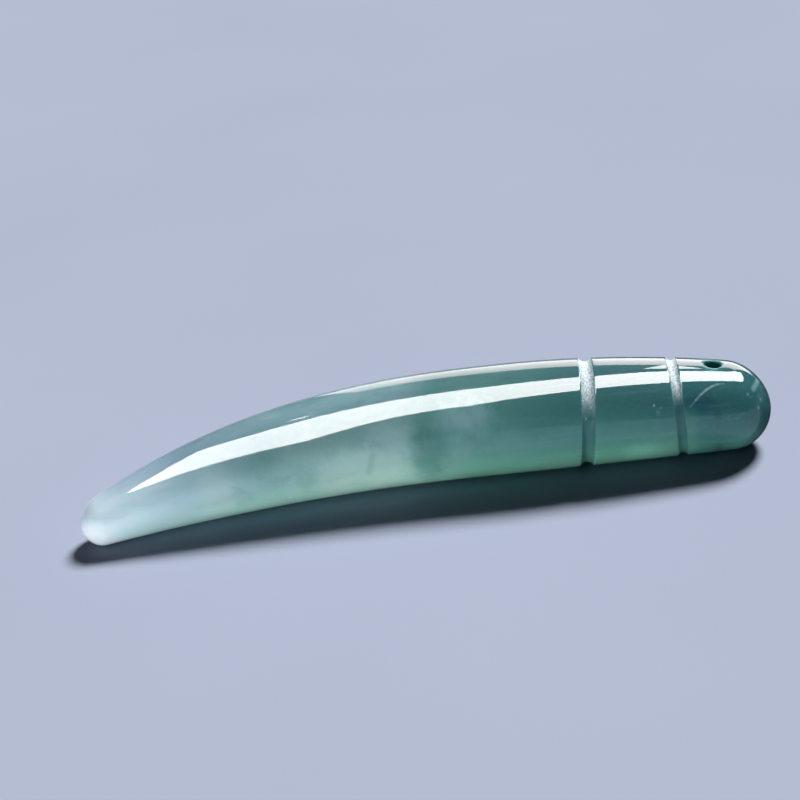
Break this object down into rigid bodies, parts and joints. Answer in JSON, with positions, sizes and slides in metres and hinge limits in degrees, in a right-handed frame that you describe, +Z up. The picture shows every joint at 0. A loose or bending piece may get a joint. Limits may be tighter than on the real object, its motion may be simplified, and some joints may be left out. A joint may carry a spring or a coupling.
{
  "type": "carved stone pendant",
  "caption": "Slim horn-shaped pendant of polished green stone with ring grooves near a domed head and a cross-drilled cord hole.",
  "frame": {"origin": "bottom centre of the overall box, with the piece lying on its side", "axes": "+X along the straight head end, towards the head, which is the longest extent; +Y towards the outer side of the bend; +Z up, along the cord hole"},
  "size_m": [0.0544, 0.012, 0.0087],
  "materials": {
    "stone": "polished"
  },
  "bodies": {
    "root": {"carved_pin": "stone"}
  },
  "joints": []
}
